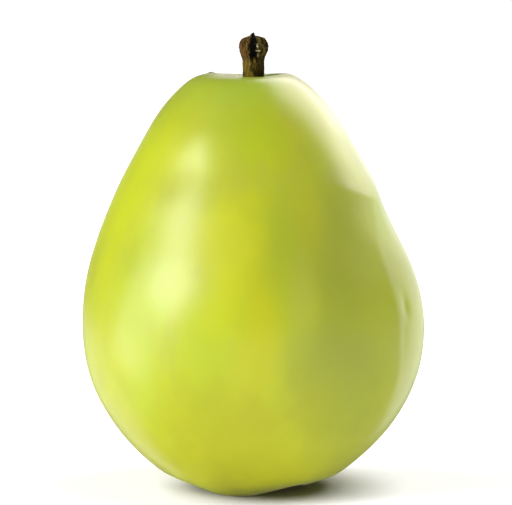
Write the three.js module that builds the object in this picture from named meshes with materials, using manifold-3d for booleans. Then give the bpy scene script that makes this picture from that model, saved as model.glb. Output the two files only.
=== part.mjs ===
// A green dessert pear standing on its blossom end: the fruit, its short woody stem with a knuckled head,
// and the dried calyx in the basin underneath. Millimetres, +Z up, the stem at the top. The origin is the
// centre of the part's outline seen from above, on the surface that the pear stands on.
// Seen from the front, along +Y, +X is to the right. Angles are in radians, anticlockwise from +X.

import * as THREE from "three";
import { mergeVertices } from "three/addons/utils/BufferGeometryUtils.js";
import Module from "manifold-3d";

const wasm = await Module();
wasm.setup();

// Driving dimensions of the fruit
const BELLY_RADIUS = 37.8;
const BELLY_HEIGHT = 36.5; // of the widest ring above the surface
const WAIST_RADIUS = 29.0; // where the flank is straightest, between belly and neck
const WAIST_HEIGHT = 66;
const WAIST_LEAN = 0.43; // how much the flank draws in for each millimetre up, at the waist
const NECK_RADIUS = 16.6; // where the neck turns over into the shoulder
const NECK_HEIGHT = 88.0;
const NECK_LEAN = 0.95;
const RIM_RADIUS = 8.0; // highest ring, round the stem's hollow
const BODY_HEIGHT = 93.2;
const HOLLOW_DEPTH = 2.6; // of the stem's hollow below the rim
const SOCKET_RADIUS = 2.75; // plain hole that the stem's root stands in
const SOCKET_DEPTH = 8;
const FOOT_RADIUS = 12.0; // ring that the pear stands on
const BASIN_DEPTH = 6.4; // of the blossom end's basin above the surface
const WELL_RADIUS = 3.0; // plain hole in the basin's floor for the calyx
const WELL_DEPTH = 1.4;

// How the fruit departs from a turned shape
const FOOT_SHIFT = -0.2; // the blossom end sits to the left of the belly
const NECK_SHIFT = -1.5; // and so does the neck
const NECK_BACK = 0.8;
const OVAL = 0.012; // share by which the belly is wider across than deep
const THREE_SIDED = 0.006;
const THREE_SIDED_TURN = -0.33;
const LOBES = 3; // round the blossom end, which the pear stands on
const LOBE_RISE = 1.9; // height of the valleys between the lobes above the surface
const LOBE_TURN = -2.0; // angle of the first lobe
const LOBE_SKEW = -0.55; // how unevenly the lobes are spaced
const LOBE_SKEW_TURN = 0.3; // the side on which they are moved round most
const LOBE_SWELL = 0.02; // how far the lobes carry on up the flank, as a share of the radius
const LOBE_TOP = 55; // height at which the lobes have faded out
const FOOT_FLAT = 0.4; // depth worn flat under each lobe
const RIM_SADDLE = 0.5; // the rim is lower in front and behind than at the sides

// Driving dimensions of the stem
const GAP = 0.35; // round the stem's root and the calyx's base
const STEM_RADIUS = 2.3;
const ROOT_SHARE = 0.88; // width of the root in its socket, as a share of the shaft's
const STEM_TOP = 101.2; // height of the head's crown
const HEAD_SWELL = 0.85; // how far the head stands out of the stem
const HEAD_HEIGHT = 98.9; // of the widest part of the head
const SWELL_HEIGHT = 95.2; // where the shaft starts to widen into the head
const NUB_HEIGHT = 0.5; // of the dried tip on the crown
const NUB_SHIFT = -0.15;
const HEAD_SHIFT = 0.15;
const STEM_RIDGES = 4;
const RIDGE_SHARE = 0.05;
const RIDGE_TURN = -0.15;
const GROOVE_ANGLE = 1.47 * Math.PI; // of the one groove down the front
const GROOVE_SPREAD = 0.5;
const GROOVE_SHARE = 0.11; // its depth on the head, as a share of the radius
const GROOVE_ON_SHAFT = 0.4; // its depth on the shaft, as a share of that on the head
const SCAR_FACING = new THREE.Vector3(0.72, -0.5, 0.48).normalize(); // the scar's outward direction
const SCAR_REACH = 2.25; // distance of the scar's face from the head's centre
const SCAR_RADIUS = 1.9;
const SCAR_HOLLOW = 0.35;

// Driving dimensions of the calyx
const SEPAL_LEAN = [0.04, -0.1, 0.07, -0.03, 0.09]; // how far each sepal stands off its even place, as an angle
const SEPAL_CURL = [0.3, -0.5, 0.1, 0.5, -0.3]; // how much further out and down each sepal's tip reaches
const SEPAL_WIDTH = 3.6;
const SEPAL_THICKNESS = 0.7;
const SEPAL_TAPER = 0.88; // share of its width that a sepal loses towards its tip
const SEPAL_THINNING = 0.25;
const SEPAL_TROUGH = 0.13; // how strongly a sepal is folded along its middle
const SEPAL_SPINE = [
  [1.7, 0.3],
  [2.6, 2.0],
  [4.9, 2.6],
  [5.9, 4.6],
]; // distance from the axis, and depth below the basin's floor
const CUP_HEIGHT = 1.9;
const CUP_LIP = 0.7; // height of the cup's chamfered lip
const CUP_MOUTH = 1.5; // radius of the opening
const CUP_FLOOR = 1.0; // depth of the opening
const STYLES = 5; // dried stubs inside the cup
const STYLE_RADIUS = 0.35;
const STYLE_LENGTH = 1.6;
const STYLE_SPREAD = 0.55; // distance of each stub's middle from the axis
const STYLE_DROP = 0.9; // depth of each stub's middle below the basin's floor
const STYLE_LEAN = 0.25;

// Fineness of the facets
const FRUIT_SIDES = 72;
const STEM_SIDES = 28;
const SHAFT_STEPS = 16;
const CROWN_STEPS = 9;
const SEPAL_SIDES = 8;
const SEPAL_STEPS = 9;
const CUP_SIDES = 24;
const STYLE_SIDES = 6;

const TURN = 2 * Math.PI;

/** A closed surface through rings of points, from a first point to a last one, with its faces pointing out. */
function closedSurface(first, rings, last) {
  const sides = rings[0].length;
  const points = [first, ...rings.flat(), last];
  const index = [];
  const at = (ring, side) => 1 + ring * sides + (side % sides);
  for (let side = 0; side < sides; side++) {
    index.push(0, at(0, side + 1), at(0, side));
    index.push(points.length - 1, at(rings.length - 1, side), at(rings.length - 1, side + 1));
    for (let ring = 0; ring + 1 < rings.length; ring++) {
      const [a, b] = [at(ring, side), at(ring, side + 1)];
      const [c, d] = [at(ring + 1, side), at(ring + 1, side + 1)];
      index.push(a, b, d, a, d, c);
    }
  }
  const geometry = new THREE.BufferGeometry().setFromPoints(points);
  geometry.setIndex(index);
  return geometry;
}

/** A bump that is 1 at the middle, falls smoothly to 0 at the given reach, and stays 0 beyond it. */
function bump(distance, reach) {
  return 1 - THREE.MathUtils.smoothstep(Math.abs(distance), 0, reach);
}

/**
 * Half of the fruit's section, as points with x the radius and y the height, from the calyx's well, round
 * the outside, to the stem's socket. The curve passes each knot in the direction of its heading, and keeps
 * to that heading for the given reach before and after it.
 */
function fruitProfile() {
  const socketEdge = BODY_HEIGHT - HOLLOW_DEPTH;
  const knots = [
    { at: [WELL_RADIUS, BASIN_DEPTH], heading: [1, -0.12], before: 0, after: 3.3 },
    { at: [FOOT_RADIUS, 0], heading: [1, 0], before: 4.6, after: 2.4, steps: 7 },
    { at: [BELLY_RADIUS, BELLY_HEIGHT], heading: [0, 1], before: 24.2, after: 12.5, steps: 13 },
    { at: [WAIST_RADIUS, WAIST_HEIGHT], heading: [-WAIST_LEAN, 1], before: 9, after: 7, steps: 9 },
    { at: [NECK_RADIUS, NECK_HEIGHT], heading: [-NECK_LEAN, 1], before: 6, after: 3, steps: 7 },
    { at: [RIM_RADIUS, BODY_HEIGHT], heading: [-1, 0], before: 3.4, after: 2.8, steps: 5 },
    { at: [SOCKET_RADIUS, socketEdge], heading: [-1, -0.15], before: 1.4, after: 0, steps: 5 },
  ];
  const onHeading = ({ at: [x, y], heading }, reach) =>
    new THREE.Vector2(x + heading[0] * reach, y + heading[1] * reach);
  const points = [new THREE.Vector2(WELL_RADIUS, BASIN_DEPTH + WELL_DEPTH), onHeading(knots[0], 0)];
  for (let i = 1; i < knots.length; i++) {
    const [from, to] = [knots[i - 1], knots[i]];
    const curve = new THREE.CubicBezierCurve(
      onHeading(from, 0),
      onHeading(from, from.after),
      onHeading(to, -to.before),
      onHeading(to, 0),
    );
    for (let step = 1; step <= to.steps; step++) points.push(curve.getPoint(step / to.steps));
  }
  points.push(new THREE.Vector2(SOCKET_RADIUS, BODY_HEIGHT - SOCKET_DEPTH));
  return points;
}

/** How far the section's centre stands to the right and back, at a radius and height of the section. */
function fruitCentre(radius, height) {
  const foot = 1 - THREE.MathUtils.smoothstep(height, 0, BELLY_HEIGHT);
  const neck = THREE.MathUtils.smoothstep(height, BELLY_HEIGHT, WAIST_HEIGHT);
  const outsideHollow = THREE.MathUtils.smoothstep(radius, SOCKET_RADIUS, 1.6 * RIM_RADIUS);
  const top = neck * outsideHollow;
  return new THREE.Vector2(FOOT_SHIFT * foot + NECK_SHIFT * top, NECK_BACK * top);
}

/** A point on the fruit's surface: the profile's point turned by an angle, with the fruit's own irregularities. */
function fruitPoint(profilePoint, angle) {
  const { x: radius, y: height } = profilePoint;
  const skew = LOBE_SKEW * (1 + Math.cos(angle - LOBE_SKEW_TURN));
  const lobe = 0.5 + 0.5 * Math.cos(LOBES * (angle - LOBE_TURN) + skew);
  const low = 1 - THREE.MathUtils.smoothstep(height, 0, LOBE_TOP);
  const oval = OVAL * Math.cos(2 * angle) + THREE_SIDED * Math.cos(3 * (angle - THREE_SIDED_TURN));
  const outside = THREE.MathUtils.smoothstep(radius, 0.6 * FOOT_RADIUS, BELLY_RADIUS);
  const wide = radius * (1 + outside * (oval + LOBE_SWELL * low * (lobe - 0.5)));
  const onFoot = low * bump(radius - FOOT_RADIUS, 0.75 * FOOT_RADIUS);
  const onRim = height > WAIST_HEIGHT ? bump(radius - RIM_RADIUS, 0.7 * RIM_RADIUS) : 0;
  const raised = height + LOBE_RISE * (1 - lobe) * onFoot - RIM_SADDLE * onRim * Math.sin(angle) ** 2;
  const centre = fruitCentre(radius, height);
  return new THREE.Vector3(
    centre.x + wide * Math.cos(angle),
    centre.y + wide * Math.sin(angle),
    Math.max(raised - FOOT_FLAT, 0),
  );
}

function fruitGeometry() {
  const rings = fruitProfile().map((profilePoint) =>
    Array.from({ length: FRUIT_SIDES }, (_, side) => fruitPoint(profilePoint, (TURN * side) / FRUIT_SIDES)),
  );
  const middle = (ring) => ring.reduce((sum, q) => sum.add(q), new THREE.Vector3()).divideScalar(ring.length);
  return closedSurface(middle(rings[0]), rings, middle(rings.at(-1)));
}

/** Radius of the stem at a height, before its ridges: root, shaft and swollen head. */
function stemRadius(height) {
  const outOfSocket = THREE.MathUtils.smoothstep(height, BODY_HEIGHT - SOCKET_DEPTH, BODY_HEIGHT);
  const head = THREE.MathUtils.smoothstep(height, SWELL_HEIGHT, HEAD_HEIGHT);
  return STEM_RADIUS * THREE.MathUtils.lerp(ROOT_SHARE, 1, outOfSocket) + HEAD_SWELL * head;
}

/** Share of its radius that the stem keeps at an angle: its ridges, and the one groove down the front. */
function stemSection(height, angle) {
  const onHead = THREE.MathUtils.smoothstep(height, SWELL_HEIGHT, HEAD_HEIGHT);
  const ridges = 1 + RIDGE_SHARE * Math.cos(STEM_RIDGES * (angle - RIDGE_TURN));
  const depth = GROOVE_SHARE * THREE.MathUtils.lerp(GROOVE_ON_SHAFT, 1, onHead);
  const groove = 1 - depth * bump(angle - GROOVE_ANGLE, GROOVE_SPREAD);
  const visible = THREE.MathUtils.smoothstep(height, BODY_HEIGHT - HOLLOW_DEPTH, BODY_HEIGHT);
  return THREE.MathUtils.lerp(1, ridges * groove, visible);
}

/** A point of the head beyond the scar is brought back on to the scar, which is dished inside a low lip. */
function cutByScar(point, headCentre) {
  const beyond = point.clone().sub(headCentre).dot(SCAR_FACING) - SCAR_REACH;
  if (beyond <= 0) return point;
  const onFace = point.clone().addScaledVector(SCAR_FACING, -beyond);
  const fromMiddle = onFace.clone().sub(headCentre).addScaledVector(SCAR_FACING, -SCAR_REACH).length();
  return onFace.addScaledVector(SCAR_FACING, -SCAR_HOLLOW * bump(fromMiddle, SCAR_RADIUS));
}

function stemGeometry() {
  const rootHeight = BODY_HEIGHT - SOCKET_DEPTH + GAP;
  const headCentre = new THREE.Vector3(HEAD_SHIFT, 0, HEAD_HEIGHT);
  const levels = [];
  for (let step = 0; step <= SHAFT_STEPS; step++) {
    levels.push([THREE.MathUtils.lerp(rootHeight, HEAD_HEIGHT, step / SHAFT_STEPS), 1]);
  }
  for (let step = 1; step < CROWN_STEPS; step++) {
    const turn = (Math.PI / 2) * (step / CROWN_STEPS);
    levels.push([HEAD_HEIGHT + (STEM_TOP - HEAD_HEIGHT) * Math.sin(turn), Math.cos(turn)]);
  }
  const rings = levels.map(([height, share]) => {
    const shift = HEAD_SHIFT * THREE.MathUtils.smoothstep(height, SWELL_HEIGHT, HEAD_HEIGHT);
    return Array.from({ length: STEM_SIDES }, (_, side) => {
      const angle = (TURN * side) / STEM_SIDES;
      const wide = share * stemRadius(height) * stemSection(height, angle);
      const point = new THREE.Vector3(shift + wide * Math.cos(angle), wide * Math.sin(angle), height);
      return cutByScar(point, headCentre);
    });
  });
  const root = new THREE.Vector3(0, 0, rootHeight);
  const nub = new THREE.Vector3(NUB_SHIFT, 0, STEM_TOP + NUB_HEIGHT);
  return closedSurface(root, rings, nub);
}

/** A closed geometry as a solid that can be joined to others. */
function solidOf(geometry) {
  const bare = geometry.clone();
  bare.deleteAttribute("normal");
  bare.deleteAttribute("uv");
  const merged = mergeVertices(bare, 1e-4);
  return new wasm.Manifold(
    new wasm.Mesh({
      numProp: 3,
      vertProperties: merged.attributes.position.array,
      triVerts: new Uint32Array(merged.index.array),
    }),
  );
}

function geometryOf(solid) {
  const mesh = solid.getMesh();
  return new THREE.BufferGeometry()
    .setAttribute("position", new THREE.BufferAttribute(mesh.vertProperties, 3))
    .setIndex(new THREE.BufferAttribute(mesh.triVerts, 1));
}

/** One sepal: a pointed blade that leaves the cup, spreads along the basin's wall and curls at its tip. */
function sepalGeometry(angle, curl) {
  const spinePoints = SEPAL_SPINE.map(([out, depth]) => new THREE.Vector3(out, 0, BASIN_DEPTH - depth));
  spinePoints.at(-1).add(new THREE.Vector3(curl, 0, -0.5 * curl));
  const spine = new THREE.CubicBezierCurve3(...spinePoints);
  const across = new THREE.Vector3(0, 1, 0);
  const rings = [];
  for (let step = 0; step <= SEPAL_STEPS; step++) {
    const share = step / SEPAL_STEPS;
    const middle = spine.getPoint(share);
    const through = new THREE.Vector3().crossVectors(spine.getTangent(share), across);
    const half = (SEPAL_WIDTH / 2) * (1 - SEPAL_TAPER * share ** 2);
    const thick = (SEPAL_THICKNESS / 2) * (1 - SEPAL_THINNING * share);
    rings.push(
      Array.from({ length: SEPAL_SIDES }, (_, side) => {
        const turn = (TURN * side) / SEPAL_SIDES;
        const out = half * Math.cos(turn);
        return middle
          .clone()
          .addScaledVector(across, out)
          .addScaledVector(through, thick * Math.sin(turn) - SEPAL_TROUGH * out * out);
      }),
    );
  }
  return closedSurface(spine.getPoint(0), rings, spine.getPoint(1)).rotateZ(angle);
}

/** The cup that the sepals stand on: its base fills the well, and its mouth opens downwards. */
function cupGeometry() {
  const top = BASIN_DEPTH + WELL_DEPTH - GAP - FOOT_FLAT;
  const radius = WELL_RADIUS - GAP;
  const low = top - CUP_HEIGHT;
  const outline = [
    new THREE.Vector2(0, low + CUP_FLOOR),
    new THREE.Vector2(CUP_MOUTH - 0.5 * CUP_LIP, low + 0.8 * CUP_FLOOR),
    new THREE.Vector2(CUP_MOUTH, low),
    new THREE.Vector2(radius - 0.6 * CUP_LIP, low),
    new THREE.Vector2(radius, low + CUP_LIP),
    new THREE.Vector2(radius, top),
    new THREE.Vector2(0, top),
  ];
  return new THREE.LatheGeometry(outline, CUP_SIDES).rotateX(Math.PI / 2);
}

function styleGeometry(angle) {
  return new THREE.CylinderGeometry(STYLE_RADIUS, 0.8 * STYLE_RADIUS, STYLE_LENGTH, STYLE_SIDES)
    .rotateX(Math.PI / 2 + STYLE_LEAN)
    .translate(0, STYLE_SPREAD, BASIN_DEPTH - STYLE_DROP)
    .rotateZ(angle);
}

function calyxGeometry() {
  let solid = solidOf(cupGeometry());
  SEPAL_CURL.forEach((curl, sepal) => {
    const angle = (TURN * (sepal + 0.5)) / SEPAL_CURL.length + LOBE_TURN + SEPAL_LEAN[sepal];
    solid = solid.add(solidOf(sepalGeometry(angle, curl)));
  });
  for (let style = 0; style < STYLES; style++) solid = solid.add(solidOf(styleGeometry((TURN * style) / STYLES)));
  return geometryOf(solid);
}

function piece(name, geometry, color, roughness) {
  const mesh = new THREE.Mesh(geometry, new THREE.MeshStandardMaterial({ color, roughness, metalness: 0 }));
  mesh.name = name;
  return mesh;
}

const pear = new THREE.Group();
const fruit = piece("fruit", fruitGeometry(), 0xbccb33, 0.35);
const stem = piece("stem", stemGeometry(), 0x5a4a22, 0.8);
const calyx = piece("calyx", calyxGeometry(), 0x3d2c1b, 0.9);
calyx.position.x = fruitCentre(WELL_RADIUS, BASIN_DEPTH).x;
pear.add(fruit, stem, calyx);

// The fruit is uneven, so the whole pear is moved until its outline from above is centred on the origin.
const outline = new THREE.Box3().setFromObject(pear);
const middle = outline.getCenter(new THREE.Vector3());
pear.position.set(-middle.x, -middle.y, 0);

export default pear;
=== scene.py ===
# A green pear on a white floor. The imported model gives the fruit, the stem and the calyx their places. This
# script gives them fine surfaces made from the same formulas, and their colours. Lengths of the pear are in
# millimetres and turned into metres when a mesh or a material is made. Places and sizes of the camera, the
# lights and the floor are in metres. Angles are in radians, anticlockwise from +X, unless a comment says
# otherwise.
import math

import bpy
import numpy as np
from mathutils import Euler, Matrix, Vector, noise


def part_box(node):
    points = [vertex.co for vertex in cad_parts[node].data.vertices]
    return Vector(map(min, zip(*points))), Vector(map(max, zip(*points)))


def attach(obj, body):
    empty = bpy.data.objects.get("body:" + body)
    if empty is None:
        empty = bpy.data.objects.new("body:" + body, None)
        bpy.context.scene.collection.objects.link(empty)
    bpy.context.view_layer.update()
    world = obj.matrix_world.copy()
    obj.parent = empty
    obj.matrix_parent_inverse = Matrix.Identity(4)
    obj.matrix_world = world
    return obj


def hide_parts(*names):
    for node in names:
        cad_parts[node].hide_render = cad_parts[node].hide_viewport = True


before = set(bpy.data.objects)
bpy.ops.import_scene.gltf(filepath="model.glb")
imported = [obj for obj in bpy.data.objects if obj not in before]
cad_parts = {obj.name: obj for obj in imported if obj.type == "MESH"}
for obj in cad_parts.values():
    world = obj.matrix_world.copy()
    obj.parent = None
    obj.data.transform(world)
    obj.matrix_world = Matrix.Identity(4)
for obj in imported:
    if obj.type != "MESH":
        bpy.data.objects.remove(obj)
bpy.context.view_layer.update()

MM = 0.001
TURN = 2 * math.pi
FRONT = -math.pi / 2

# The fruit's section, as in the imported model
BELLY_RADIUS = 37.8
BELLY_HEIGHT = 36.5
WAIST_RADIUS = 29.0
WAIST_HEIGHT = 66
WAIST_LEAN = 0.43
NECK_RADIUS = 16.6
NECK_HEIGHT = 88.0
NECK_LEAN = 0.95
RIM_RADIUS = 8.0
BODY_HEIGHT = 93.2
HOLLOW_DEPTH = 2.6
HOLLOW_LEVEL = BODY_HEIGHT - HOLLOW_DEPTH
HOLLOW_SAG = 1.2
SOCKET_RADIUS = 2.75
SOCKET_DEPTH = 8
FOOT_RADIUS = 12.0
BASIN_DEPTH = 6.4
BASIN_RISE = 0.5
WELL_RADIUS = 3.0
AXIS_RADIUS = 0.01

# How the fruit departs from a turned shape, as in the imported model
FOOT_SHIFT = -0.2
FOOT_REACH = 0.75 * FOOT_RADIUS
NECK_SHIFT = -1.5
NECK_BACK = 0.8
NECK_EDGE = 1.6 * RIM_RADIUS
OVAL = 0.012
OVAL_START = 0.6 * FOOT_RADIUS
THREE_SIDED = 0.006
THREE_SIDED_TURN = -0.33
LOBES = 3
LOBE_RISE = 1.9
LOBE_TURN = -2.0
LOBE_SKEW = -0.55
LOBE_SKEW_TURN = 0.3
LOBE_SWELL = 0.02
LOBE_TOP = 55
FOOT_FLAT = 0.4
RIM_SADDLE = 0.5
RIM_REACH = 0.7 * RIM_RADIUS

# The stem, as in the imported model
STEM_GAP = 0.35
STEM_RADIUS = 2.3
ROOT_SHARE = 0.88
STEM_TOP = 101.0
STEM_SHIFT = 0.15
HEAD_SWELL = 0.85
HEAD_HEIGHT = 98.9
SWELL_HEIGHT = 95.2
HEAD_SHIFT = 0.15
STEM_RIDGES = 4
RIDGE_SHARE = 0.05
RIDGE_TURN = -0.15
SCAR_FACING = Vector((0.72, -0.5, 0.48)).normalized()
SCAR_REACH = 2.12
SCAR_RADIUS = 1.9
SCAR_HOLLOW = 0.5

# What the stem's fine surface adds. Each layer of noise says lumps a millimetre along each axis, offset and
# share. The groove's edges are angles from the front, or heights, each from its start to its end.
CROWN_SQUARENESS = 0.55
CROWN_LUMPS = [((0.8, 0.8, 0.8), 7.0, 0.35)]
GROOVE_LEFT = (-0.43, -0.21)
GROOVE_RIGHT = (0.22, 0.31)
GROOVE_LOW = (94.8, 96.3)
GROOVE_DEPTH = 0.75
NUB_RADIUS = 0.7
NUB_LENGTH = 0.8
NUB_SQUARENESS = 0.25
NUB_LEAN = 0.45
NUB_PLACE = (-0.3, 0.0)
NUB_LEVELS = (HEAD_HEIGHT + 0.6, STEM_TOP - 0.4)
FIBRES = [((2.6, 2.6, 0.35), 0.0, 1.0), ((6, 6, 0.9), 5.0, 0.5)]
FIBRE_DEPTH = 0.12
LUMPS = [((0.55, 0.55, 0.6), 9.0, 1.0), ((1.7, 1.7, 1.9), 3.0, 0.4)]
LUMP_DEPTH = 0.22
SHAFT_LUMP_SHARE = 0.45
SCAR_EDGE = (-0.05, 0.1)
SCAR_LIP = 0.12
SCAR_LIP_REACH = 0.4
SCAR_CRUMBLE = [((2.2, 2.2, 2.2), 2.0, 0.14)]

# The calyx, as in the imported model
WELL_DEPTH = 1.4
SEPAL_LEAN = [0.04, -0.1, 0.07, -0.03, 0.09]
SEPAL_CURL = [0.3, -0.5, 0.1, 0.5, -0.3]
SEPAL_WIDTH = 3.6
SEPAL_THICKNESS = 0.45
SEPAL_TAPER = 0.88
SEPAL_TROUGH = 0.13
SEPAL_SPINE = [(1.7, 0.3), (2.6, 2.0), (4.9, 2.6), (5.9, 4.6)]
CUP_HEIGHT = 1.9
CUP_LIP = 0.7
CUP_MOUTH = 1.5
CUP_FLOOR = 1.0

# What the calyx's fine surface adds. A crinkle's offset grows with the sepal's number.
CURL_DROP = 0.5
SEPAL_THINNING = 0.5
CRINKLES = [((0.8, 1.3, 0.8), 11.0, 0.35), ((3, 3, 3), 1.0, 0.12)]
CUP_ROUGHNESS = [((1.6, 1.6, 1.6), 4.0, 0.1)]
CUP_ROUGH_BELOW = 0.1
CUP_AXIS_RADIUS = 0.02
# The styles and the stamens round them: count, distance from the middle, radius, length, lean
STUBS = [(5, 0.55, 0.22, 2.1, 0.5), (14, 1.15, 0.11, 2.5, 0.9)]
STUB_ROOT = BASIN_DEPTH - 0.2
STUB_NOISE_STEP = 3.7
STUB_KNOB = 0.5
STUB_KNOB_START = 0.75
# How each stub's own bend changes its lean, bow, length and place in the ring
STUB_LEAN_SHARE = 0.6
STUB_BOW = 0.5
STUB_SIDE_LEAN = 0.25
STUB_LENGTH_SHARE = 0.85
STUB_LENGTH_SWING = 0.3
STUB_PLACE_SWING = 0.4
# A direction that no stub runs along, from which its rings are turned
STUB_SIDEWAYS = (0.31, 0.95, 0.05)

# Fineness of the meshes
FRUIT_SIDES = 352
FRUIT_RING_GAP = 0.5
SECTION_SAMPLES = 40
STEM_SIDES = 224
STEM_ROOT_RINGS = 8
STEM_SHAFT_RINGS = 110
STEM_CROWN_RINGS = 60
SEPAL_SIDES = 28
SEPAL_STEPS = 46
CUP_SIDES = 72
CUP_STEPS = 6
STUB_SIDES = 10
STUB_STEPS = 12

# Broad swellings and small dents of the flesh: degrees from +X, height, reach along the ring, reach up, rise
SWELLS = [
    (-122, 66.0, 10, 3.5, 0.24),
    (-122, 73.0, 10, 3.5, -0.22),
    (-120, 80.5, 8, 3.0, 0.16),
    (-120, 86.0, 6, 2.2, -0.10),
    (-150, 40, 8, 16, -0.25),
    (-6, 68.8, 14, 4.5, 0.5),
    (-38, 62, 7, 4, 0.34),
    (-40, 53.5, 8, 5, -0.28),
    (-46, 48, 8, 12, -0.15),
    (176, 78, 11, 5, -0.3),
    (176, 67, 12, 6, 0.3),
]
DENTS = [
    (-27, 43.0, 1.1, 1.7, -0.42),
    (-30, 36.0, 1.2, 2.6, -0.14),
]
SIDE_START = 0.7 * BELLY_RADIUS
# The edge down the right flank: height, degrees from +X, rise
RIDGE = [(18, -31, 0), (32, -32, 0.35), (46, -34, 0.5), (57, -33, 0.5), (64, -26, 0.45), (72, -12, 0)]
RIDGE_REACH = 4.0
RIDGE_ROUNDING = 0.5
# The fold under the right shoulder: degrees from +X, height, rise
FOLD = [
    (-62, 71, 0),
    (-50, 69.6, 0.3),
    (-39, 68.4, 0.42),
    (-28, 66.6, 0.45),
    (-18, 65.0, 0.45),
    (-8, 67.5, 0.2),
    (0, 70, 0),
]
FOLD_REACH = 3.5
FOLD_ROUNDING = 0.9
# Slight unevenness of the skin, as layers of noise that are alike along every axis
UNEVENNESS = [(0.075, 3.0, 0.13), (0.19, 3.0, 0.03)]
SPECK_PLACE = (-9.2, 1.6, 92.4)
SPECK_REACH = 0.75
SPECK_RISE = 0.45

# The photograph's frame and view. The frame and the focal length are in pixels, the sensor in millimetres, and
# the camera's rise is above the horizon.
IMAGE_WIDTH = 512
SENSOR_WIDTH = 36
CAMERA_DISTANCE = 0.75
CAMERA_RISE = math.radians(6)
CAMERA_FOCAL_PIXELS = 3355.7
CAMERA_AIM = (0.00056, 0, 0.0528)
AIM_LEVEL = 0.047

# Colours of the skin. Some also serve as painted light and painted shade, as their names say
GREEN_YELLOW = (0.49, 0.54, 0.011)
FRESH_GREEN = (0.44, 0.53, 0.011)
RIPE_YELLOW = (0.485, 0.50, 0.010)
# Partly painted light: it lightens the underside and the front left, where light falls
YELLOW_AND_PAINTED_LIGHT = (0.60, 0.63, 0.014)
# Partly painted light: it lightens the left side where the key light falls
GREEN_AND_PAINTED_LIGHT = (0.55, 0.62, 0.008)
# Olive is the skin's own tone in its patches; on the right side it is also painted shade, away from the key
# light
OLIVE_AND_PAINTED_SHADE = (0.335, 0.36, 0.036)
# Partly painted shade: it darkens the lower front, which faces the floor
YELLOW_AND_PAINTED_SHADE = (0.36, 0.37, 0.011)
DEEP_OLIVE_AND_PAINTED_SHADE = (0.295, 0.34, 0.034)
PALE_OLIVE = (0.42, 0.43, 0.06)
TOP_GREEN = (0.44, 0.575, 0.03)
# Darker green in the hollow round the stem: partly the skin's own green, partly painted shade
HOLLOW_GREEN_AND_SHADE = (0.30, 0.36, 0.05)
RUSSET = (0.20, 0.13, 0.04)
SPECK_BROWN = (0.05, 0.035, 0.02)

# Patterns of the skin: lumps a metre, stretch along each axis, detail, roughness
SKIN_PATTERNS = {
    "broad": (34, (1, 1, 0.45), 2.0, 0.5),
    "patches": (95, (1, 1, 0.6), 2.0, 0.5),
    "streaks": (170, (1, 1, 0.22), 3.0, 0.5),
    "fine": (420, (1, 1, 1), 3.0, 0.5),
    "pores": (1400, (1, 1, 1), 2.0, 0.5),
}
# Tones laid over the skin: pattern, its values where the tone starts and is full, strength, colour
SKIN_TONES = [
    ("broad", 0.38, 0.62, 1.0, FRESH_GREEN),
    ("patches", 0.45, 0.8, 0.35, OLIVE_AND_PAINTED_SHADE),
    ("streaks", 0.52, 0.7, 0.4, FRESH_GREEN),
    ("streaks", 0.48, 0.32, 0.25, PALE_OLIVE),
]
# Zones of the skin, some of them painted light and painted shade: degrees from the front, height, half width
# in degrees, half height, colour, strength
ZONES = [
    # These olive zones darken the right side, away from the key light: partly the skin's olive, partly painted
    # shade
    (34, 50, 34, 36, OLIVE_AND_PAINTED_SHADE, 0.85),
    (60, 30, 26, 26, OLIVE_AND_PAINTED_SHADE, 0.6),
    (40, 18, 34, 20, OLIVE_AND_PAINTED_SHADE, 0.65),
    (2, 40, 8, 24, RIPE_YELLOW, 0.9),
    (-15, 36, 9, 26, FRESH_GREEN, 0.9),
    # Lighter on the left, where the key light falls: partly the skin's green, partly painted light
    (-68, 67, 30, 16, GREEN_AND_PAINTED_LIGHT, 0.8),
    (16, 46, 7, 16, FRESH_GREEN, 0.35),
    (24, 64, 8, 10, RIPE_YELLOW, 0.3),
    (-5, 82, 24, 12, FRESH_GREEN, 0.8),
    (-10, 92, 70, 7, TOP_GREEN, 0.9),
    # This and the other deep olive zones on the right: partly the skin's olive, partly painted shade
    (33, 42, 9, 15, DEEP_OLIVE_AND_PAINTED_SHADE, 0.6),
    (17, 47, 6, 9, PALE_OLIVE, 0.6),
    # Lighter at the front left, where the key light's soft edge falls: partly the skin's yellow, partly
    # painted light
    (-10, 58, 15, 17, YELLOW_AND_PAINTED_LIGHT, 0.7),
    (32, 27, 20, 15, DEEP_OLIVE_AND_PAINTED_SHADE, 0.8),
    # The underside painted lighter: painted light in place of the light thrown up from the floor
    (0, 1, 60, 8, YELLOW_AND_PAINTED_LIGHT, 1.0),
    (44, 60, 12, 10, DEEP_OLIVE_AND_PAINTED_SHADE, 0.5),
    # The lower front painted darker: partly the skin's yellow, partly painted shade
    (-2, 15, 34, 17, YELLOW_AND_PAINTED_SHADE, 0.8),
    (150, 45, 45, 30, FRESH_GREEN, 0.6),
    (-160, 30, 25, 24, RIPE_YELLOW, 0.5),
    (110, 60, 16, 22, RIPE_YELLOW, 0.4),
]
# Where a zone starts and is full, and how far its edge sways, as shares of its half size
ZONE_EDGE = 1.4
ZONE_CORE = 0.2
ZONE_SWAY = 0.2
# Edges of colours, as the lengths where the colour starts and is full
RIPE_LEVELS = (26, 4)
RIPE_STRENGTH = 0.8
HOLLOW_EDGE = (8.5, 5.0)
HOLLOW_RUSSET_EDGE = (4.2, 2.8)
HOLLOW_SWAY = 1.2
BASIN_LEVEL = 6
BASIN_RUSSET_EDGE = (13.5, 10.0)
BASIN_RUSSET_STRENGTH = 0.85
BASIN_SWAY = 2.0
SPECK_EDGE = (1.2, 0.8)
PORE_DEPTH = 0.02
LIGHT_REACH_IN_FLESH = 4

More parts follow.
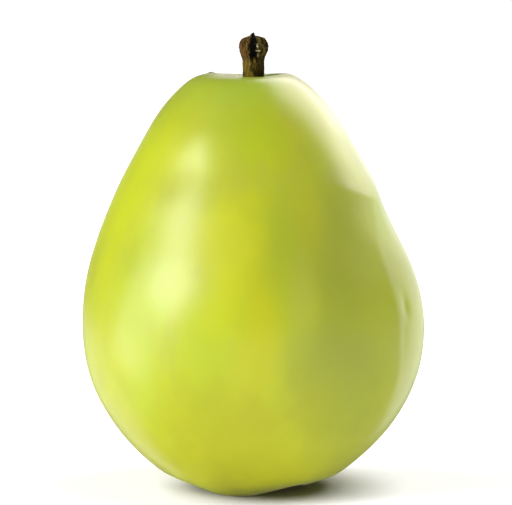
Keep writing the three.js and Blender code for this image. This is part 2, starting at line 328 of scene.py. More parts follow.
# Colours of the stem. The gold and the near black also serve as the lit and the shaded bark: painted light and
# painted shade
BARK_GOLD = (0.36, 0.265, 0.022)
BARK_BROWN = (0.17, 0.11, 0.022)
BARK_DARK = (0.045, 0.028, 0.008)
BARK_BLACK = (0.010, 0.006, 0.002)
BARK_RED = (0.16, 0.08, 0.02)
BARK_OLIVE = (0.15, 0.11, 0.018)
# Partly painted shade, where shade falls in the groove
GROOVE_BLACK_AND_SHADE = (0.004, 0.003, 0.002)
SCAR_OLIVE = (0.12, 0.09, 0.015)
FLECK_PALE = (0.44, 0.40, 0.20)

# Patterns and tones of the stem, with the same columns as the skin's
STEM_PATTERNS = {
    "fibres": (2600, (1, 1, 0.16), 4.0, 0.6),
    "lumps": (800, (1, 1, 0.7), 3.0, 0.5),
    "grain": (5200, (1, 1, 1), 3.0, 0.5),
}
LIT_BARK_TONES = [("fibres", 0.36, 0.56, 1.0, BARK_BROWN), ("lumps", 0.5, 0.75, 0.6, BARK_DARK)]
RED_TONES = [("fibres", 0.40, 0.56, 1.0, BARK_DARK)]
SHADED_BARK_TONES = [("fibres", 0.42, 0.66, 1.0, BARK_DARK), ("grain", 0.5, 0.66, 0.75, BARK_OLIVE)]
SCAR_TONES = [("lumps", 0.42, 0.58, 1.0, BARK_BLACK), ("grain", 0.62, 0.74, 0.6, BARK_GOLD)]
# Edges of the bark's colours and of its painted shade: to the right of the stem's middle, in height, or out
# from the head's middle
BARK_SWAY = 0.7
# The right half is painted shade: near black on the side away from the key light, gold on the lit side
PAINTED_SHADE_SIDE = (-0.3, 0.6)
RED_SIDE = (-0.5, -1.2)
RED_LEVELS = (94.5, 97.0)
SCAR_COLOR_REACH = (1.2, 1.7)
# Edges of the groove's black, partly the dark groove and partly painted shade, as angles from the front and
# heights
BLACK_LEFT = (-0.40, -0.26)
BLACK_RIGHT = (0.44, 0.34)
BLACK_SWAY = 0.1
BLACK_LEVELS = (94.5, 96.2)
# Pale flecks of the bark: angle from the front, height, half width as an angle, half height
FLECKS = [
    (0.50, 99.45, 0.24, 0.08),
    (0.47, 97.9, 0.19, 0.16),
    (0.36, 98.9, 0.035, 0.40),
    (0.44, 96.9, 0.035, 0.45),
]
# Where a fleck starts and is full, and how far its edge sways, as shares of its half size
FLECK_EDGE = 1.1
FLECK_CORE = 0.7
FLECK_SWAY = 0.5
FLECK_STRENGTH = 0.9
GRAIN_SHARE = 0.5
BARK_RELIEF = 0.2

# Colours, patterns and tones of the calyx
CALYX_BROWN = (0.10, 0.055, 0.022)
CALYX_BLACK = (0.018, 0.011, 0.007)
CALYX_TIP = (0.20, 0.13, 0.06)
CALYX_PATTERNS = {
    "coarse": (700, (1, 1, 1), 4.0, 0.5),
    "fine": (3600, (1, 1, 1), 3.0, 0.5),
}
CALYX_TONES = [("coarse", 0.38, 0.62, 1.0, CALYX_BROWN), ("fine", 0.55, 0.75, 0.7, CALYX_TIP)]
CALYX_RELIEF = 0.2

# The floor. It gives light of its own away from the pear, so that it comes to the photograph's white.
FLOOR_HALF = 60
FLOOR_COLOR = (0.45, 0.445, 0.445)
FLOOR_GLOW_START = 0.02
FLOOR_GLOW_FULL = 0.32

# Softboxes: name, azimuth, elevation, half width, half height, radiance, roll, colour, with angles in degrees
LIGHT_DISTANCE = 1.2
WHITE = (1, 1, 1)
WARM_WHITE = (1.0, 0.89, 0.97)
COOL_WHITE = (0.80, 0.79, 1.0)
MIRRORED_LIGHTS = [
    ("left_key", -73, 12, 18, 38, 4.2, -32, COOL_WHITE),
    ("left_core", -56, 23.5, 13, 16, 8.6, -36, COOL_WHITE),
    ("left_soft", -53, 24, 14, 22, 1.1, -22, WHITE),
    ("left_low", -103, -25, 20, 18, 0.8, 0, WHITE),
    ("left_rear", -140, -24, 18, 18, 1.0, 0, WHITE),
    ("rear_right", 136, 42, 24, 21.5, 6.1, -18, WARM_WHITE),
    ("rear_high", 168, 24, 15, 20, 1.2, -18, WARM_WHITE),
    ("backdrop", 180, 1, 20, 8, 0.8, 0, WHITE),
    ("rear_low", 136, -2, 25, 24, 1.5, -18, WHITE),
]
FILL_LIGHTS = [
    ("left_fill", -77, 44, 38, 38, 0.97, 0, WHITE),
    ("front_fill", -15, 56, 35, 35, 0.38, 0, WHITE),
    ("low_fill", 0, -80, 30, 30, 1.15, 0, WHITE),
    ("rear_fill", 133, 44, 22, 23, 0.9, 0, WHITE),
]
FLOOR_LIGHTS = [
    ("floor_right", 86, 60, 22, 22, 13.2, 0, WHITE),
    ("floor_left", -80, 32, 28, 24, 15.2, 0, WHITE),
]
ROOM_LIGHT = 0.17


def smoothstep(value, low, high):
    share = np.clip((value - low) / (high - low), 0, 1)
    return share * share * (3 - 2 * share)


def bump(distance, reach):
    return 1 - smoothstep(np.abs(distance), 0, reach)


def cubic(start, leaving, arriving, end, share):
    """Points of a cubic curve with two handles, at each share of it."""
    start, leaving, arriving, end = (np.array(p, float)[None, :] for p in (start, leaving, arriving, end))
    done = np.asarray(share)[:, None]
    left = 1 - done
    return left**3 * start + 3 * left**2 * done * leaving + 3 * left * done**2 * arriving + done**3 * end


def angle_between(first, second):
    return np.abs((first - second + math.pi) % TURN - math.pi)


def turned(points, angle):
    x, y, z = points[..., 0], points[..., 1], points[..., 2]
    cosine, sine = math.cos(angle), math.sin(angle)
    return np.stack([x * cosine - y * sine, x * sine + y * cosine, z], -1)


def ring_angles(sides):
    return (np.arange(sides) / sides * TURN)[None, :]


def on_rings(radius, height, angle):
    """A grid of points, one ring for each height, from arrays that spread out to that grid."""
    radius, height, angle = np.broadcast_arrays(radius, height, angle)
    return np.stack([radius * np.cos(angle), radius * np.sin(angle), height], axis=-1)


def noise_at(points, lumps, offset):
    """Smooth noise from about -1 to 1 at each point of an array, with the given lumps a millimetre."""
    flat = (points * np.array(lumps) + offset).reshape(-1, 3)
    return np.array([noise.noise(Vector(point)) for point in flat]).reshape(points.shape[:-1])


def layered_noise(points, layers):
    return sum(share * noise_at(points, lumps, offset) for lumps, offset, share in layers)


def closed_mesh(name, *grids):
    """A mesh of closed skins, each through a grid of points in millimetres whose end rings are capped."""
    vertices, faces = [], []
    for points in grids:
        rings, sides, _ = points.shape
        index = np.arange(rings * sides).reshape(rings, sides) + len(vertices)
        beside = np.roll(index, -1, axis=1)
        quads = np.stack([index[:-1], beside[:-1], beside[1:], index[1:]], axis=-1).reshape(-1, 4)
        first = len(vertices) + rings * sides
        faces += quads.tolist()
        faces += [(first, int(beside[0, i]), int(index[0, i])) for i in range(sides)]
        faces += [(first + 1, int(index[-1, i]), int(beside[-1, i])) for i in range(sides)]
        vertices += (points.reshape(-1, 3) * MM).tolist()
        vertices += [(points[0].mean(axis=0) * MM).tolist(), (points[-1].mean(axis=0) * MM).tolist()]
    mesh = bpy.data.meshes.new(name)
    mesh.from_pydata(vertices, [], faces)
    mesh.polygons.foreach_set("use_smooth", np.ones(len(mesh.polygons), bool))
    mesh.update()
    piece = bpy.data.objects.new(name, mesh)
    bpy.context.scene.collection.objects.link(piece)
    return piece


def fruit_section():
    """Radius and height along half of the fruit's section, from the basin's middle to the hollow's middle."""
    # Each knot of the outline: place, heading, length of the handle before it, length of the handle after it
    knots = [
        ((AXIS_RADIUS, BASIN_DEPTH + BASIN_RISE), (1, 0), 0, 1.5),
        ((WELL_RADIUS, BASIN_DEPTH), (1, -0.12), 1.0, 3.3),
        ((FOOT_RADIUS, 0), (1, 0), 4.6, 2.4),
        ((BELLY_RADIUS, BELLY_HEIGHT), (0, 1), 24.2, 12.5),
        ((WAIST_RADIUS, WAIST_HEIGHT), (-WAIST_LEAN, 1), 9, 7),
        ((NECK_RADIUS, NECK_HEIGHT), (-NECK_LEAN, 1), 6, 3),
        ((RIM_RADIUS, BODY_HEIGHT), (-1, 0), 3.4, 2.8),
        ((SOCKET_RADIUS, HOLLOW_LEVEL), (-1, -0.15), 1.4, 0.6),
        ((AXIS_RADIUS, HOLLOW_LEVEL - HOLLOW_SAG), (-1, 0), 0.8, 0),
    ]
    parts = []
    for (start, heading, _, after), (end, next_heading, before, _) in zip(knots, knots[1:]):
        start, end = np.array(start, float), np.array(end, float)
        handles = start + np.array(heading) * after, end - np.array(next_heading) * before
        rough = cubic(start, *handles, end, np.linspace(0, 1, SECTION_SAMPLES))
        length = np.linalg.norm(np.diff(rough, axis=0), axis=1).sum()
        steps = max(3, round(length / FRUIT_RING_GAP))
        parts.append(cubic(start, *handles, end, np.arange(steps) / steps))
    parts.append(np.array([knots[-1][0]], float))
    return np.concatenate(parts)


def fruit_centre(radius, height):
    foot = 1 - smoothstep(height, 0, BELLY_HEIGHT)
    neck = smoothstep(height, BELLY_HEIGHT, WAIST_HEIGHT)
    top = neck * smoothstep(radius, SOCKET_RADIUS, NECK_EDGE)
    return FOOT_SHIFT * foot + NECK_SHIFT * top, NECK_BACK * top


def fruit_points(radius, height, angle):
    """The fruit's surface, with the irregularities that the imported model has."""
    skew = LOBE_SKEW * (1 + np.cos(angle - LOBE_SKEW_TURN))
    lobe = 0.5 + 0.5 * np.cos(LOBES * (angle - LOBE_TURN) + skew)
    low = 1 - smoothstep(height, 0, LOBE_TOP)
    oval = OVAL * np.cos(2 * angle) + THREE_SIDED * np.cos(3 * (angle - THREE_SIDED_TURN))
    outside = smoothstep(radius, OVAL_START, BELLY_RADIUS)
    wide = radius * (1 + outside * (oval + LOBE_SWELL * low * (lobe - 0.5)))
    on_foot = low * bump(radius - FOOT_RADIUS, FOOT_REACH)
    on_rim = np.where(height > WAIST_HEIGHT, bump(radius - RIM_RADIUS, RIM_REACH), 0)
    raised = height + LOBE_RISE * (1 - lobe) * on_foot - RIM_SADDLE * on_rim * np.sin(angle) ** 2
    centre_x, centre_y = fruit_centre(radius, height)
    x = centre_x + wide * np.cos(angle)
    y = centre_y + wide * np.sin(angle)
    return np.stack([x, y, np.maximum(raised - FOOT_FLAT, 0)], axis=-1)


def grid_normals(points):
    """Outward normals of a grid of points whose second axis runs round the fruit."""
    round_it = np.roll(points, -1, axis=1) - np.roll(points, 1, axis=1)
    along = np.gradient(points, axis=0)
    normal = np.cross(round_it, along)
    return normal / np.maximum(np.linalg.norm(normal, axis=-1, keepdims=True), 1e-12)


def fruit_shift(plain):
    """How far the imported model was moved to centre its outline, in millimetres."""
    low, high = (np.array(corner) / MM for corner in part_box("fruit"))
    middle = (plain.min(axis=(0, 1)) + plain.max(axis=(0, 1))) / 2
    return np.array([*((low + high) / 2 - middle)[:2], 0])


def swell_rise(height, angle, radius):
    rise = 0
    for at, level, reach_round, reach_up, amount in SWELLS + DENTS:
        round_share = angle_between(angle, math.radians(at)) * radius / reach_round
        up_share = (height - level) / reach_up
        rise = rise + amount * np.exp(-0.5 * (round_share**2 + up_share**2))
    return rise


def ridge_rise(height, angle, radius):
    levels, turns, rises = np.transpose(RIDGE)
    crest = np.radians(np.interp(height, levels, turns))
    beside = angle_between(angle, crest) * radius
    return np.interp(height, levels, rises) * np.exp(-np.hypot(beside, RIDGE_ROUNDING) / RIDGE_REACH)


def fold_rise(height, angle):
    turns, levels, rises = np.transpose(FOLD)
    around = np.degrees((angle + math.pi) % TURN - math.pi)
    above = height - np.interp(around, turns, levels)
    return np.interp(around, turns, rises) * np.exp(-np.hypot(above, FOLD_ROUNDING) / FOLD_REACH)


def speck_rise(points):
    from_speck = np.linalg.norm(points - np.array(SPECK_PLACE), axis=-1)
    return SPECK_RISE * np.exp(-((from_speck / SPECK_REACH) ** 2))


def make_fruit():
    section = fruit_section()
    radius, height = section[:, :1], section[:, 1:]
    angle = ring_angles(FRUIT_SIDES)
    plain = fruit_points(radius, height, angle)
    side = smoothstep(radius, FOOT_RADIUS, SIDE_START)
    rise = side * (swell_rise(height, angle, radius) + layered_noise(plain, UNEVENNESS))
    rise = rise + ridge_rise(height, angle, radius) + fold_rise(height, angle) + speck_rise(plain)
    points = plain + grid_normals(plain) * rise[..., None]
    points[..., 2] = np.maximum(points[..., 2], 0)
    shift = fruit_shift(plain)
    fruit = closed_mesh("pear_fruit", points + shift)
    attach(fruit, "root")
    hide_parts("fruit")
    return fruit, shift


def stem_levels():
    """Heights of the stem's rings from its root to its crown, and the share of its width that each keeps."""
    root = BODY_HEIGHT - SOCKET_DEPTH + STEM_GAP
    hidden = np.linspace(root, HOLLOW_LEVEL, STEM_ROOT_RINGS, endpoint=False)
    shown = np.linspace(HOLLOW_LEVEL, HEAD_HEIGHT, STEM_SHAFT_RINGS)
    turn = np.arange(1, STEM_CROWN_RINGS) / STEM_CROWN_RINGS * math.pi / 2
    crown = HEAD_HEIGHT + (STEM_TOP - HEAD_HEIGHT) * np.sin(turn)
    share = np.concatenate([np.ones(len(hidden) + len(shown)), np.cos(turn) ** CROWN_SQUARENESS])
    return np.concatenate([hidden, shown, crown])[:, None], share[:, None]


def stem_groove(height, angle):
    """How deep the one dark groove down the front is, as a share of its full depth."""
    from_front = (angle - FRONT + math.pi) % TURN - math.pi
    inside = smoothstep(from_front, *GROOVE_LEFT) * (1 - smoothstep(from_front, *GROOVE_RIGHT))
    return inside * smoothstep(height, *GROOVE_LOW)


def stem_grid():
    """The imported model's stem with fibres, lumps, the groove, the scar and the dried tip."""
    height, share = stem_levels()
    angle = ring_angles(STEM_SIDES)
    out_of_socket = smoothstep(height, BODY_HEIGHT - SOCKET_DEPTH, BODY_HEIGHT)
    head = smoothstep(height, SWELL_HEIGHT, HEAD_HEIGHT)
    radius = STEM_RADIUS * (ROOT_SHARE + (1 - ROOT_SHARE) * out_of_socket) + HEAD_SWELL * head
    visible = smoothstep(height, HOLLOW_LEVEL, BODY_HEIGHT)
    ridges = RIDGE_SHARE * np.cos(STEM_RIDGES * (angle - RIDGE_TURN))
    plain = on_rings(radius, height, angle)
    lump_share = SHAFT_LUMP_SHARE + (1 - SHAFT_LUMP_SHARE) * head
    fibres = FIBRE_DEPTH * layered_noise(plain, FIBRES)
    lumps = LUMP_DEPTH * lump_share * layered_noise(plain, LUMPS)
    groove = GROOVE_DEPTH * stem_groove(height, angle)
    wide = share * (radius * (1 + visible * ridges) + visible * (fibres + lumps - groove))
    lifted = height + (1 - share) * layered_noise(plain, CROWN_LUMPS)
    points = on_rings(wide, lifted, angle)
    points[..., 0] += HEAD_SHIFT * head
    return add_nub(cut_by_scar(points)) + (STEM_SHIFT, 0, 0)


def cut_by_scar(points):
    """Brings what lies beyond the scar back on to it. The scar is dished, with a low uneven lip."""
    facing = np.array(SCAR_FACING)
    from_head = points - np.array([HEAD_SHIFT, 0, HEAD_HEIGHT])
    beyond = from_head @ facing - SCAR_REACH
    on_face = from_head - np.maximum(beyond, 0)[..., None] * facing
    from_middle = np.linalg.norm(on_face - facing * SCAR_REACH, axis=-1)
    lip = SCAR_LIP * bump(from_middle - SCAR_RADIUS, SCAR_LIP_REACH)
    dish = SCAR_HOLLOW * bump(from_middle, SCAR_RADIUS) - lip
    cut = smoothstep(beyond, *SCAR_EDGE)
    depth = np.maximum(beyond, 0) + cut * (dish + layered_noise(points, SCAR_CRUMBLE))
    return points - depth[..., None] * facing


def add_nub(points):
    """Raises the small dried tip on the crown, which leans to the right."""
    across = points[..., 0] - NUB_PLACE[0]
    back = points[..., 1] - NUB_PLACE[1]
    on_crown = smoothstep(points[..., 2], *NUB_LEVELS)
    rise = on_crown * NUB_LENGTH * bump(np.hypot(across, back), NUB_RADIUS) ** NUB_SQUARENESS
    points[..., 2] += rise
    points[..., 0] += NUB_LEAN * rise
    return points


def make_stem(shift):
    stem = closed_mesh("pear_stem", stem_grid() + shift)
    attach(stem, "root")
    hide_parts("stem")
    return stem


def sepal_turn(number):
    return TURN * (number + 0.5) / len(SEPAL_CURL) + LOBE_TURN + SEPAL_LEAN[number]


def sepal_grid(number):
    """One withered sepal: a pointed blade that spreads along the basin's wall, crinkled and curled."""
    curl = SEPAL_CURL[number]
    spine = np.array([(out, 0, BASIN_DEPTH - depth) for out, depth in SEPAL_SPINE], float)
    spine[-1] += (curl, 0, -CURL_DROP * curl)
    share = np.linspace(0, 1, SEPAL_STEPS)
    middle = cubic(*spine, share)
    along = np.gradient(middle, axis=0)
    along /= np.linalg.norm(along, axis=1, keepdims=True)
    through = np.cross(along, (0, 1, 0))
    turn = ring_angles(SEPAL_SIDES)
    half = (SEPAL_WIDTH / 2 * (1 - SEPAL_TAPER * share**2))[:, None]
    thick = (SEPAL_THICKNESS / 2 * (1 - SEPAL_THINNING * share))[:, None]
    out = half * np.cos(turn)
    plain = middle[:, None] + out[..., None] * np.array([0, 1.0, 0])
    crinkle = layered_noise(plain, [(lumps, offset * number, part) for lumps, offset, part in CRINKLES])
    lift = thick * np.sin(turn) - SEPAL_TROUGH * out**2 + crinkle * share[:, None]
    return turned(plain + lift[..., None] * through[:, None], sepal_turn(number))


def cup_grid():
    """The cup that the sepals stand on. Its base fills the well, and its mouth opens downwards."""
    top = BASIN_DEPTH + WELL_DEPTH - STEM_GAP - FOOT_FLAT
    radius = WELL_RADIUS - STEM_GAP
    low = top - CUP_HEIGHT
    outline = [
        (CUP_AXIS_RADIUS, low + CUP_FLOOR),
        (CUP_MOUTH - 0.5 * CUP_LIP, low + 0.8 * CUP_FLOOR),
        (CUP_MOUTH, low),
        (radius - 0.6 * CUP_LIP, low),
        (radius, low + CUP_LIP),
        (radius, top),
        (CUP_AXIS_RADIUS, top),
    ]
    rings = []
    for start, end in zip(outline, outline[1:]):
        start, end = np.array(start), np.array(end)
        rings += [start + (end - start) * step / CUP_STEPS for step in range(CUP_STEPS)]
    rings = np.array([*rings, outline[-1]])
    points = on_rings(rings[:, :1], rings[:, 1:], ring_angles(CUP_SIDES))
    points[..., 2] += layered_noise(points, CUP_ROUGHNESS) * (points[..., 2] < top - CUP_ROUGH_BELOW)
    return points


def stub_grid(spine, radius):
    """Rings round a spine of points, with one radius for each point."""
    along = np.gradient(spine, axis=0)
    along /= np.linalg.norm(along, axis=1, keepdims=True)
    first = np.cross(along, STUB_SIDEWAYS)
    first /= np.linalg.norm(first, axis=1, keepdims=True)
    second = np.cross(along, first)
    turn = ring_angles(STUB_SIDES)[..., None]
    ring = first[:, None] * np.cos(turn) + second[:, None] * np.sin(turn)
    return spine[:, None] + radius[:, None, None] * ring


def stub_grids():
    """The dried styles in the middle of the cup, and the stamens round them, each bent in its own way."""
    grids = []
    share = np.linspace(0, 1, STUB_STEPS)
    knob = 1 + STUB_KNOB * smoothstep(share, STUB_KNOB_START, 1.0)
    for count, spread, radius, length, lean in STUBS:
        for number in range(count):
            bend = noise_at(np.array([number * STUB_NOISE_STEP, spread, 0.5]), 1.0, 0.0)
            out = spread + lean * share**2 * (STUB_LEAN_SHARE + bend)
            side = STUB_BOW * bend * share * (1 - share) + STUB_SIDE_LEAN * bend * share
            drop = STUB_ROOT - length * share * (STUB_LENGTH_SHARE + STUB_LENGTH_SWING * bend)
            stub = stub_grid(np.stack([out, side, drop], -1), radius * knob)
            grids.append(turned(stub, TURN * (number + STUB_PLACE_SWING * bend) / count))
    return grids


def make_calyx(shift):
    grids = [cup_grid()] + [sepal_grid(number) for number in range(len(SEPAL_CURL))] + stub_grids()
    middle = np.array([fruit_centre(WELL_RADIUS, BASIN_DEPTH)[0], 0, 0])
    calyx = closed_mesh("pear_calyx", *(grid + middle + shift for grid in grids))
    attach(calyx, "root")
    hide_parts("calyx")
    return calyx


class Nodes:
    """A material's node tree, with short calls for the nodes that the materials here use."""

    def __init__(self, name):
        self.material = bpy.data.materials.new(name)
        self.material.use_nodes = True
        self.tree = self.material.node_tree
        self.shader = self.tree.nodes["Principled BSDF"]

    def join(self, value, socket):
        if isinstance(value, bpy.types.NodeSocket):
            self.tree.links.new(value, socket)
        elif socket.type == "RGBA":
            socket.default_value = (*value, 1.0)
        else:
            socket.default_value = value

    def add(self, kind, inputs=(), output=0, **settings):
        node = self.tree.nodes.new(kind)
        for key, value in settings.items():
            setattr(node, key, value)
        for key, value in dict(inputs).items():
            self.join(value, node.inputs[key])
        return node.outputs[output]

    def place(self):
        return self.add("ShaderNodeTexCoord", output="Object")

    def split(self, vector):
        node = self.tree.nodes.new("ShaderNodeSeparateXYZ")
        self.join(vector, node.inputs[0])
        return node.outputs[0], node.outputs[1], node.outputs[2]

    def math(self, operation, first, second=0.0):
        return self.add("ShaderNodeMath", {0: first, 1: second}, operation=operation)

    def vector(self, operation, first, second, output=0):
        return self.add("ShaderNodeVectorMath", {0: first, 1: second}, output=output, operation=operation)

    def distance(self, vector, place):
        return self.vector("DISTANCE", vector, place, output="Value")

    def reach(self, across, up):
        """How far a place lies from a patch's middle, by its shares of the half width and the half height."""
        squares = self.math("MULTIPLY", across, across), self.math("MULTIPLY", up, up)
        return self.math("SQRT", self.math("ADD", *squares))

    def patterns(self, place, table):
        """A noise for each row of a table: lumps a metre, stretch along each axis, detail and roughness."""
        found = {}
        for name, (lumps, stretch, detail, roughness) in table.items():
            vector = self.vector("MULTIPLY", place, stretch)
            inputs = {"Vector": vector, "Scale": lumps, "Detail": detail, "Roughness": roughness}
            found[name] = self.add("ShaderNodeTexNoise", inputs, output="Fac")
        return found

    def spread(self, value, low, high, to_low=0.0, to_high=1.0):
        inputs = {"Value": value, "From Min": low, "From Max": high, "To Min": to_low, "To Max": to_high}
        return self.add("ShaderNodeMapRange", inputs, interpolation_type="SMOOTHSTEP")

    def edge(self, length, lengths, strength=1.0):
        """Rises from nothing to the strength between two lengths in millimetres."""
        start, full = lengths
        return self.spread(length, start * MM, full * MM, 0.0, strength)

    def sway(self, pattern, amount, half_range=0.2):
        """Turns a pattern, whose values lie round a half, into a sway between minus and plus the amount."""
        return self.spread(pattern, 0.5 - half_range, 0.5 + half_range, -amount, amount)

    def mix(self, share, first, second):
        node = self.tree.nodes.new("ShaderNodeMix")
        node.data_type = "RGBA"
        factor, under, over = (node.inputs[i] for i in (0, 6, 7))
        self.join(share, factor)
        self.join(first, under)
        self.join(second, over)
        return node.outputs[2]

    def tones(self, ground, patterns, tones):
        """Lays each tone over the ground where its pattern has the tone's values."""
        for pattern, start, full, strength, color in tones:
            ground = self.mix(self.spread(patterns[pattern], start, full, 0.0, strength), ground, color)
        return ground

    def bump(self, height, depth, strength):
        inputs = {"Height": height, "Distance": depth * MM, "Strength": strength}
        return self.add("ShaderNodeBump", inputs, output="Normal")

    def finish(self, piece, **sockets):
        for key, value in sockets.items():
            self.join(value, self.shader.inputs[key.replace("_", " ")])
        piece.data.materials.clear()
        piece.data.materials.append(self.material)


def placed(point, shift):
    """A point of the pear in metres, moved as its meshes are."""
    return tuple(MM * (value + moved) for value, moved in zip(point, shift))


def zone_share(skin, place, sway, at, level, half_angle, half_height, strength):
    """How strongly a zone's colour shows at a place: fully in its core and not at all past its edge."""
    inputs = {"Vector": place, "Angle": math.radians(-at)}
    beside, behind, above = skin.split(skin.add("ShaderNodeVectorRotate", inputs, rotation_type="Z_AXIS"))
    turn = skin.math("ARCTAN2", beside, skin.math("MULTIPLY", behind, -1.0))
    across = skin.math("DIVIDE", turn, math.radians(half_angle))
    up = skin.math("DIVIDE", skin.math("SUBTRACT", above, level * MM), half_height * MM)
    reach = skin.math("ADD", skin.reach(across, up), sway)
    return skin.spread(reach, ZONE_EDGE, ZONE_CORE, 0.0, strength)


def skin_ends(skin, body, place, fine, shift):
    """Colours the hollow round the stem, whose darker green is partly painted shade, the basin round the calyx
    and the speck on the rim.
    """
    from_stem = skin.distance(place, placed((0, 0, HOLLOW_LEVEL), shift))
    hollow = skin.math("ADD", from_stem, skin.sway(fine, HOLLOW_SWAY * MM))
    body = skin.mix(skin.edge(hollow, HOLLOW_EDGE), body, HOLLOW_GREEN_AND_SHADE)
    body = skin.mix(skin.edge(hollow, HOLLOW_RUSSET_EDGE), body, RUSSET)
    from_basin = skin.distance(place, placed((0, 0, BASIN_LEVEL), shift))
    basin = skin.math("ADD", from_basin, skin.sway(fine, BASIN_SWAY * MM))
    body = skin.mix(skin.edge(basin, BASIN_RUSSET_EDGE, BASIN_RUSSET_STRENGTH), body, RUSSET)
    from_speck = skin.distance(place, placed(SPECK_PLACE, shift))
    return skin.mix(skin.edge(from_speck, SPECK_EDGE), body, SPECK_BROWN)


def skin_material(fruit, shift):
    skin = Nodes("pear_skin")
    place = skin.place()
    patterns = skin.patterns(place, SKIN_PATTERNS)
    height = skin.split(place)[2]
    body = skin.tones(GREEN_YELLOW, patterns, SKIN_TONES)
    body = skin.mix(skin.edge(height, RIPE_LEVELS, RIPE_STRENGTH), body, RIPE_YELLOW)
    sway = skin.sway(patterns["patches"], ZONE_SWAY)
    for at, level, half_angle, half_height, color, strength in ZONES:
        share = zone_share(skin, place, sway, at, level, half_angle, half_height, strength)
        body = skin.mix(share, body, color)
    skin.finish(
        fruit,
        Base_Color=skin_ends(skin, body, place, patterns["fine"], shift),
        Roughness=0.31,
        IOR=1.43,
        Subsurface_Weight=0.12,
        Subsurface_Radius=(1.0, 0.9, 0.2),
        Subsurface_Scale=LIGHT_REACH_IN_FLESH * MM,
        Normal=skin.bump(patterns["pores"], PORE_DEPTH, strength=0.5),
    )


def scar_share(wood, place, shift):
    """How much of the scar's colour shows, by how far a place lies from the head's middle towards it."""
    offset = wood.vector("SUBTRACT", place, placed((HEAD_SHIFT, 0, HEAD_HEIGHT), shift))
    toward = wood.vector("DOT_PRODUCT", offset, tuple(SCAR_FACING), output="Value")
    return wood.edge(toward, SCAR_COLOR_REACH)


def groove_shade_share(wood, angle, level, lumps):
    """How much of the groove's black shows, by the angle from the front and the height. It is partly painted
    shade.
    """
    ragged = wood.math("ADD", angle, wood.sway(lumps, BLACK_SWAY, half_range=0.15))
    share = wood.math("MULTIPLY", wood.spread(ragged, *BLACK_LEFT), wood.spread(ragged, *BLACK_RIGHT))
    return wood.math("MULTIPLY", share, wood.edge(level, BLACK_LEVELS))


def add_flecks(wood, color, angle, height, grain):
    for at, level, half_angle, half_height in FLECKS:
        across = wood.math("DIVIDE", wood.math("SUBTRACT", angle, at), half_angle)
        up = wood.math("DIVIDE", wood.math("SUBTRACT", height, level * MM), half_height * MM)
        reach = wood.math("ADD", wood.reach(across, up), wood.sway(grain, FLECK_SWAY))
        color = wood.mix(wood.spread(reach, FLECK_EDGE, FLECK_CORE, 0.0, FLECK_STRENGTH), color, FLECK_PALE)
    return color


def stem_material(stem, shift):
    wood = Nodes("stem_wood")
    place = wood.place()
    patterns = wood.patterns(place, STEM_PATTERNS)
    x, y, height = wood.split(place)
    right = wood.math("SUBTRACT", x, shift[0] * MM)
    front = wood.math("SUBTRACT", shift[1] * MM, y)
    angle = wood.math("ARCTAN2", right, front)
    sway = wood.sway(patterns["lumps"], BARK_SWAY * MM)
    beside = wood.math("ADD", right, sway)
    # The left half is painted as the lit bark and the right half as the shaded bark: painted light and painted
    # shade
    lit_bark = wood.tones(BARK_GOLD, patterns, LIT_BARK_TONES)
    red_share = wood.math("MULTIPLY", wood.edge(height, RED_LEVELS), wood.edge(beside, RED_SIDE))
    lit_bark = wood.mix(red_share, lit_bark, wood.tones(BARK_RED, patterns, RED_TONES))
    shaded_bark = wood.tones(BARK_BLACK, patterns, SHADED_BARK_TONES)
    color = wood.mix(wood.edge(beside, PAINTED_SHADE_SIDE), lit_bark, shaded_bark)
    color = wood.mix(scar_share(wood, place, shift), color, wood.tones(SCAR_OLIVE, patterns, SCAR_TONES))
    level = wood.math("ADD", height, sway)
    # The groove's black is partly painted shade in the crease
    color = wood.mix(groove_shade_share(wood, angle, level, patterns["lumps"]), color, GROOVE_BLACK_AND_SHADE)
    color = add_flecks(wood, color, angle, height, patterns["grain"])
    relief = wood.math("ADD", patterns["fibres"], wood.math("MULTIPLY", patterns["grain"], GRAIN_SHARE))
    wood.finish(
        stem,
        Base_Color=color,
        Roughness=0.85,
        Specular_IOR_Level=0.03,
        Normal=wood.bump(relief, BARK_RELIEF, strength=0.8),
    )


def calyx_material(calyx):
    husk = Nodes("dried_calyx")
    patterns = husk.patterns(husk.place(), CALYX_PATTERNS)
    color = husk.tones(CALYX_BLACK, patterns, CALYX_TONES)
    relief = husk.bump(patterns["fine"], CALYX_RELIEF, strength=0.8)
    husk.finish(calyx, Base_Color=color, Roughness=0.85, Normal=relief)


def make_floor():
    half = FLOOR_HALF
    mesh = bpy.data.meshes.new("floor")
    corners = [(-half, -half, 0), (half, -half, 0), (half, half, 0), (-half, half, 0)]
    mesh.from_pydata(corners, [], [(0, 1, 2, 3)])
    floor = bpy.data.objects.new("floor", mesh)
    bpy.context.scene.collection.objects.link(floor)
    paint = Nodes("white_floor")
    from_pear = paint.distance(paint.place(), (0, 0, 0))
    paint.finish(
        floor,
        Base_Color=FLOOR_COLOR,
        Roughness=0.9,
        Specular_IOR_Level=0.0,
        Emission_Color=WHITE,
        Emission_Strength=paint.spread(from_pear, FLOOR_GLOW_START, FLOOR_GLOW_FULL),
    )
    floor.visible_glossy = False
    floor.visible_shadow = False
    return floor


def towards(azimuth, elevation):
    """A direction out from the pear. Azimuth is from the camera's side, positive to the picture's right."""
    level = math.cos(elevation)
    return Vector((math.sin(azimuth) * level, -math.cos(azimuth) * level, math.sin(elevation)))


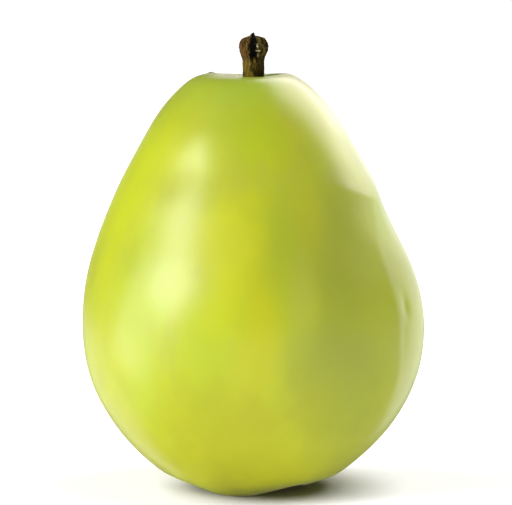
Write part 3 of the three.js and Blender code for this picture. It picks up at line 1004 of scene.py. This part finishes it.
def soft_light(row, only, glossy, diffuse):
    """A flat softbox that faces the pear and lights only one collection's objects. Its half width and half
    height are angles as seen from the pear, and roll leans its top to the left as seen from there."""
    name, azimuth, elevation, half_width, half_height, radiance, roll, color = row
    light = bpy.data.lights.new(name, "AREA")
    light.shape = "RECTANGLE"
    light.size = 2 * LIGHT_DISTANCE * math.tan(math.radians(half_width))
    light.size_y = 2 * LIGHT_DISTANCE * math.tan(math.radians(half_height))
    light.energy = radiance * math.pi * light.size * light.size_y
    light.color = color
    lamp = bpy.data.objects.new(name, light)
    out = towards(math.radians(azimuth), math.radians(elevation))
    lamp.location = Vector((0, 0, AIM_LEVEL)) + out * LIGHT_DISTANCE
    facing = out.to_track_quat("Z", "Y")
    lamp.rotation_euler = (facing @ Euler((0, 0, math.radians(roll))).to_quaternion()).to_euler()
    lamp.visible_camera = False
    lamp.visible_glossy = glossy
    lamp.visible_diffuse = diffuse
    lamp.light_linking.receiver_collection = only
    bpy.context.scene.collection.objects.link(lamp)


def group(name, pieces):
    collection = bpy.data.collections.new(name)
    for piece in pieces:
        collection.objects.link(piece)
    return collection


def make_lights(pear, floor):
    """Some softboxes only mirror in the skin, and others only fill its shadows. The floor has its own."""
    for row in MIRRORED_LIGHTS:
        soft_light(row, pear, glossy=True, diffuse=False)
    for row in FILL_LIGHTS:
        soft_light(row, pear, glossy=False, diffuse=True)
    for row in FLOOR_LIGHTS:
        soft_light(row, floor, glossy=True, diffuse=True)
    world = bpy.data.worlds.new("studio")
    world.use_nodes = True
    background = world.node_tree.nodes["Background"]
    background.inputs["Color"].default_value = (*WHITE, 1)
    background.inputs["Strength"].default_value = ROOM_LIGHT
    bpy.context.scene.world = world


def make_camera():
    data = bpy.data.cameras.new("camera")
    data.sensor_width = SENSOR_WIDTH
    data.lens = CAMERA_FOCAL_PIXELS / IMAGE_WIDTH * SENSOR_WIDTH
    camera = bpy.data.objects.new("camera", data)
    camera.location = Vector((0, 0, AIM_LEVEL)) + towards(0, CAMERA_RISE) * CAMERA_DISTANCE
    camera.rotation_euler = (Vector(CAMERA_AIM) - camera.location).to_track_quat("-Z", "Y").to_euler()
    bpy.context.scene.collection.objects.link(camera)
    bpy.context.scene.camera = camera
    bpy.context.scene.view_settings.view_transform = "Standard"


make_camera()
fruit, shift = make_fruit()
stem = make_stem(shift)
calyx = make_calyx(shift)
skin_material(fruit, shift)
stem_material(stem, shift)
calyx_material(calyx)
floor = make_floor()
make_lights(group("pear", [fruit, stem, calyx]), group("ground", [floor]))
